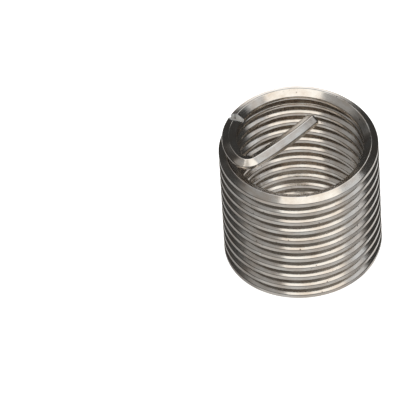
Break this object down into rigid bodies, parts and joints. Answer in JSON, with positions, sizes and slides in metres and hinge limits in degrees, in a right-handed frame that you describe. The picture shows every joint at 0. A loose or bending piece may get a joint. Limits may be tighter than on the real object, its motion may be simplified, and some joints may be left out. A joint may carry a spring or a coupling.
{
  "type": "helical thread insert",
  "caption": "Right-hand coil of diamond-section wire with a drive tang bent across one end; wound into a tapped hole, it gives a stronger or renewed internal screw thread.",
  "frame": {"origin": "on the coil axis, at the level of the lowest point of the free end, on which the insert stands", "axes": "+Z along the coil axis from the free end to the tang, +X through the wire's free end"},
  "size_m": [0.0142, 0.0142, 0.0146],
  "materials": {
    "wire": "bright drawn and rolled stainless steel wire, faint draw lines along the wire"
  },
  "bodies": {
    "root": {"thread_insert": "wire"}
  },
  "joints": []
}
